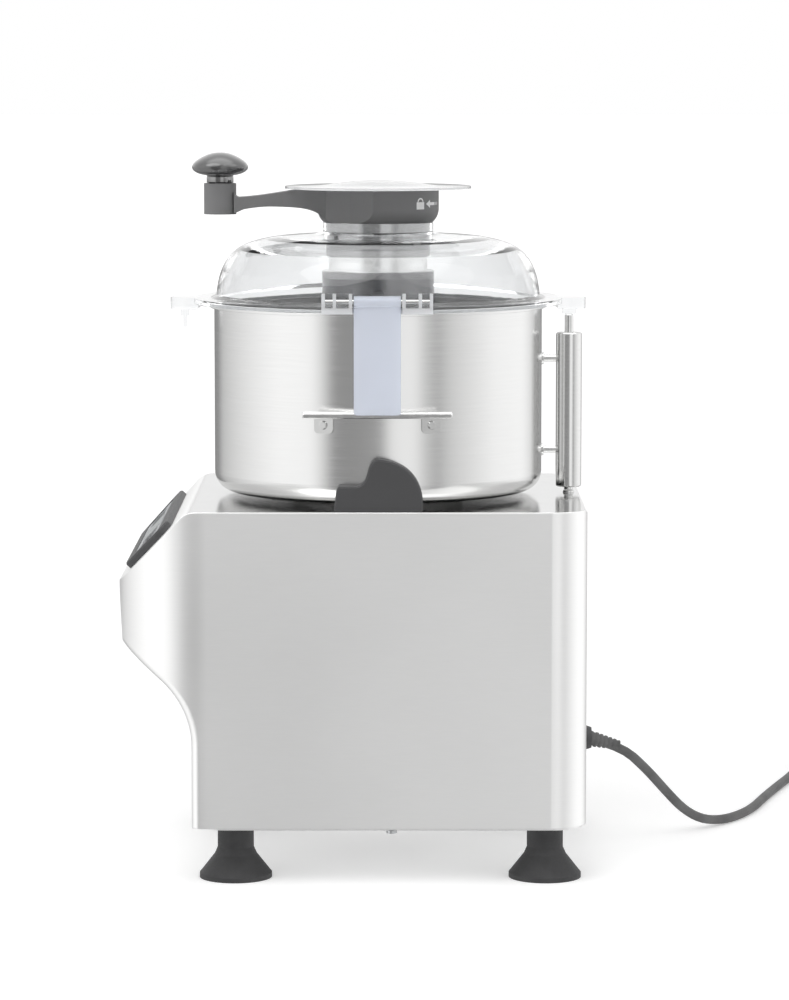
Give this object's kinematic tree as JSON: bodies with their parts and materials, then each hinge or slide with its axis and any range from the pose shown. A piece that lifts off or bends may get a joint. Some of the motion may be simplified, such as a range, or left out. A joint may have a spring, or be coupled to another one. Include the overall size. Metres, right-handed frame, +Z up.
{
  "type": "meat bowl cutter",
  "caption": "Bench bowl cutter: steel base with sloped panel, lift-out steel bowl with knife set, clear domed lid with side latches and a hand crank that turns wall scrapers.",
  "frame": {"origin": "on the floor under the middle of the machine's box, its mains lead left out", "axes": "+Z up, -X towards the sloped control panel, +X towards the mains lead, Y across the machine"},
  "size_m": [0.6516, 0.5372, 0.5165],
  "materials": {
    "brushed_body": "satin stainless sheet",
    "polished_steel": "polished stainless steel",
    "ground_steel": "ground tool steel",
    "zinc": "zinc-plated steel",
    "dark_plastic": "moulded dark grey plastic",
    "knob_plastic": "glossy black plastic",
    "rubber": "matt black rubber",
    "seal_rubber": "light silicone",
    "clear_plastic": "clear moulded polycarbonate",
    "frosted_plastic": "translucent bluish polycarbonate",
    "display": "pale printed front sheet, bare",
    "wiper_plastic": "white plastic",
    "cast_alloy": "cast aluminium",
    "laminations": "stacked sheet steel",
    "copper": "varnished copper wire",
    "board": "green circuit board",
    "brass": "nickel-free brass",
    "cord_black": "black mains lead"
  },
  "bodies": {
    "base": {"housing": "brushed_body", "bottom_plate": "brushed_body", "rubber_feet": "rubber", "foot_screws": "zinc", "pan_screws": "zinc", "control_bezel": "dark_plastic", "display_panel": "display", "control_board": "board", "bowl_lock_blocks": "dark_plastic", "bowl_seat": "polished_steel", "seat_screws": "zinc", "shaft_seal": "rubber", "motor_bracket": "zinc", "motor_pillars": "zinc", "end_bells": "cast_alloy", "bearings": "ground_steel", "motor_casing": "cast_alloy", "stator_core": "laminations", "stator_windings": "copper", "speed_controller": "cast_alloy", "run_capacitor": "dark_plastic", "terminal_block": "wiper_plastic", "safety_switch": "dark_plastic", "cable_gland": "dark_plastic", "gland_nut": "dark_plastic", "power_cord": "cord_black", "cord_coil": "cord_black", "plug": "cord_black", "plug_pins": "brass"},
    "rotor": {"drive_shaft": "ground_steel", "motor_rotor": "laminations", "cooling_fan": "dark_plastic"},
    "plunger": {"switch_plunger": "polished_steel"},
    "bowl_set": {"bowl": "polished_steel", "handle_tube": "polished_steel", "handle_bushes": "wiper_plastic", "handle_standoffs": "polished_steel", "catch_bars": "polished_steel", "catch_nuts": "polished_steel"},
    "rod": {"safety_rod": "polished_steel"},
    "knife": {"knife_hub": "polished_steel", "lower_blades": "ground_steel", "upper_blades": "ground_steel", "blade_spacer": "polished_steel", "clamp_ring": "polished_steel", "knife_grip": "dark_plastic"},
    "lid_set": {"lid": "clear_plastic", "lid_seal": "seal_rubber", "latch_pins": "polished_steel", "neck_bush": "polished_steel"},
    "near_latch": {"near_lever": "frosted_plastic"},
    "far_latch": {"far_lever": "frosted_plastic"},
    "crank_set": {"crank": "dark_plastic", "scraper_carrier": "dark_plastic", "scraper_arms": "dark_plastic", "scraper_wipers": "wiper_plastic", "knob_pin": "zinc"},
    "knob_set": {"knob": "knob_plastic"},
    "cover": {"feed_cover": "clear_plastic"}
  },
  "joints": [
    {"name": "bowl_lift", "type": "slide", "parent": "base", "child": "bowl_set", "axis": [0, 0, 1], "range_m": [0, 0.16]},
    {"name": "lid_lift", "type": "slide", "parent": "bowl_set", "child": "lid_set", "axis": [0, 0, 1], "range_m": [0, 0.17]},
    {"name": "cover_lift", "type": "slide", "parent": "crank_set", "child": "cover", "axis": [0, 0, 1], "range_m": [0, 0.06]},
    {"name": "crank_turn", "type": "hinge", "parent": "lid_set", "child": "crank_set", "pos_m": [0.014, 0, 0.478], "axis": [0, 0, 1], "continuous": true},
    {"name": "knob_spin", "type": "hinge", "parent": "crank_set", "child": "knob_set", "pos_m": [-0.1014, 0, 0.5], "axis": [0, 0, 1], "continuous": true},
    {"name": "rotor_spin", "type": "hinge", "parent": "base", "child": "rotor", "pos_m": [0.014, 0, 0.2], "axis": [0, 0, 1], "continuous": true},
    {"name": "knife_spin", "type": "hinge", "parent": "bowl_set", "child": "knife", "pos_m": [0.014, 0, 0.3], "axis": [0, 0, 1], "continuous": true},
    {"name": "near_latch_swing", "type": "hinge", "parent": "lid_set", "child": "near_latch", "pos_m": [0.014, -0.138, 0.4155], "axis": [-1, 0, 0], "range_deg": [0, 100]},
    {"name": "far_latch_swing", "type": "hinge", "parent": "lid_set", "child": "far_latch", "pos_m": [0.014, 0.138, 0.4155], "axis": [1, 0, 0], "range_deg": [0, 100]},
    {"name": "rod_travel", "type": "slide", "parent": "bowl_set", "child": "rod", "axis": [0, 0, 1], "range_m": [0, 0.008]},
    {"name": "plunger_travel", "type": "slide", "parent": "base", "child": "plunger", "axis": [0, 0, 1], "range_m": [0, 0.004]}
  ],
  "couplings": [
    {"joint": "knife_spin", "follows": "rotor_spin", "ratio": 1},
    {"joint": "rod_travel", "follows": "lid_lift", "ratio": 0.035294},
    {"joint": "plunger_travel", "follows": "lid_lift", "ratio": 0.012941}
  ]
}
